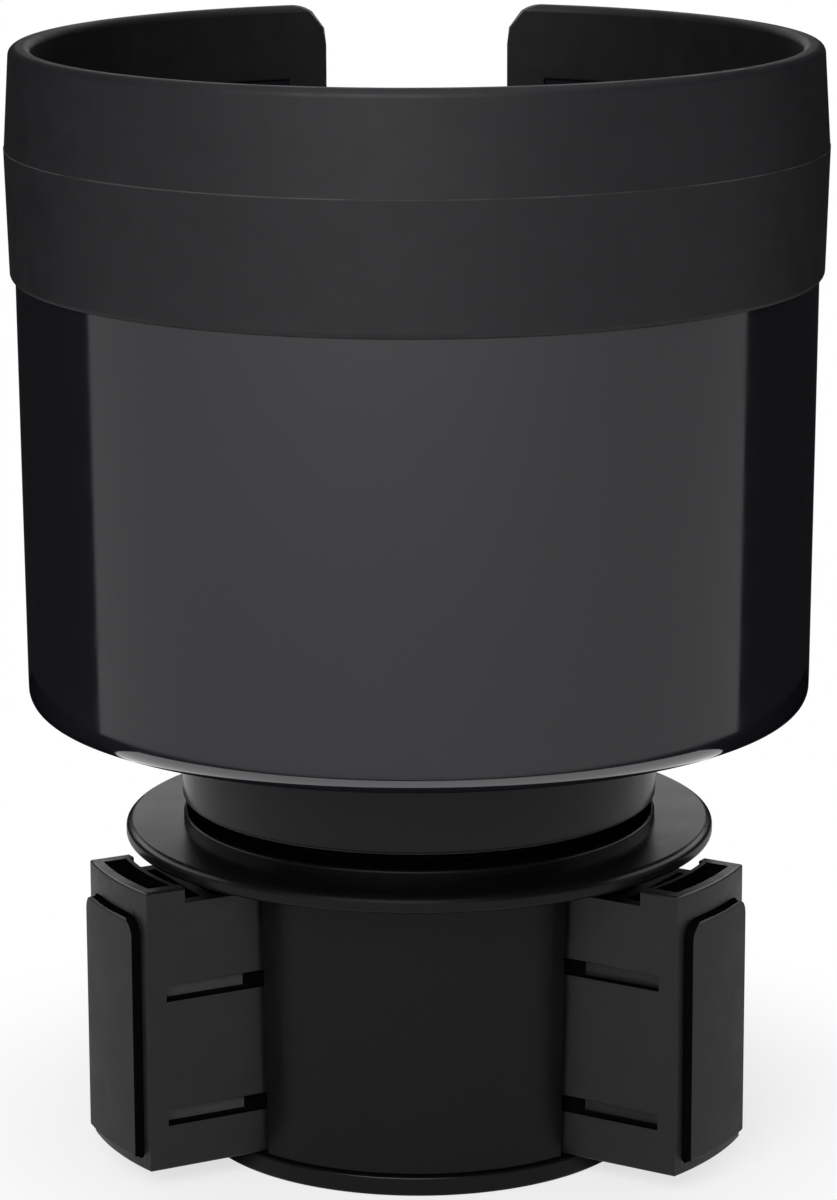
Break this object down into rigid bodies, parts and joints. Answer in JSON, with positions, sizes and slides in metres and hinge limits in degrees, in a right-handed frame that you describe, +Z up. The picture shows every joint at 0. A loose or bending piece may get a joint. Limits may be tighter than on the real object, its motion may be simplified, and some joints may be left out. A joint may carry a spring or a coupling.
{
  "type": "car cup holder",
  "caption": "Wide car cup holder with a mug-handle slot and rubber rim band, on a base whose padded legs spread to grip a vehicle's own holder as the cup turns.",
  "frame": {"origin": "centre of the base's underside, on the surface that the holder stands on", "axes": "+Z up along the cup's axis; +Y towards the handle slot, so the front faces -Y; +X to the right seen from the front"},
  "size_m": [0.1044, 0.1031, 0.1433],
  "materials": {
    "gloss_black": "polished black injection moulding",
    "satin_black": "fine satin black moulding",
    "leg_black": "fine satin black moulding",
    "band_rubber": "matte black soft rubber",
    "pad_rubber": "smooth satin black rubber",
    "mat_rubber": "matte black rubber",
    "glide_black": "black slippery plastic",
    "acetal": "natural white slippery plastic",
    "screw_steel": "zinc-plated steel",
    "pin_steel": "ground steel"
  },
  "bodies": {
    "base": {"base_housing": "satin_black", "bottom_plate": "satin_black", "bottom_screws": "screw_steel", "friction_ring": "glide_black"},
    "cup": {"neck": "satin_black", "cup_shell": "gloss_black", "cup_screws": "screw_steel", "rim_band": "band_rubber", "floor_mat": "mat_rubber", "cam_plate": "acetal", "cam_washer": "screw_steel", "cam_screw": "screw_steel"},
    "leg_left": {"leg_left": "leg_black", "pad_left": "pad_rubber", "pin_left": "pin_steel"},
    "leg_right": {"leg_right": "leg_black", "pad_right": "pad_rubber", "pin_right": "pin_steel"},
    "leg_back": {"leg_back": "leg_black", "pad_back": "pad_rubber", "pin_back": "pin_steel"}
  },
  "joints": [
    {"name": "cup_turn", "type": "hinge", "parent": "base", "child": "cup", "pos_m": [0, 0, 0.0441], "axis": [0, 0, 1], "range_deg": [0, 120]},
    {"name": "leg_left_slide", "type": "slide", "parent": "base", "child": "leg_left", "axis": [-0.8829, -0.4695, 0], "range_m": [-0.0078, 0]},
    {"name": "leg_right_slide", "type": "slide", "parent": "base", "child": "leg_right", "axis": [0.848, -0.5299, 0], "range_m": [-0.0078, 0]},
    {"name": "leg_back_slide", "type": "slide", "parent": "base", "child": "leg_back", "axis": [0.0349, 0.9994, 0], "range_m": [-0.0078, 0]}
  ],
  "couplings": [
    {"joint": "leg_left_slide", "follows": "cup_turn", "m_per_rad": -0.0037242},
    {"joint": "leg_right_slide", "follows": "cup_turn", "m_per_rad": -0.0037242},
    {"joint": "leg_back_slide", "follows": "cup_turn", "m_per_rad": -0.0037242}
  ]
}
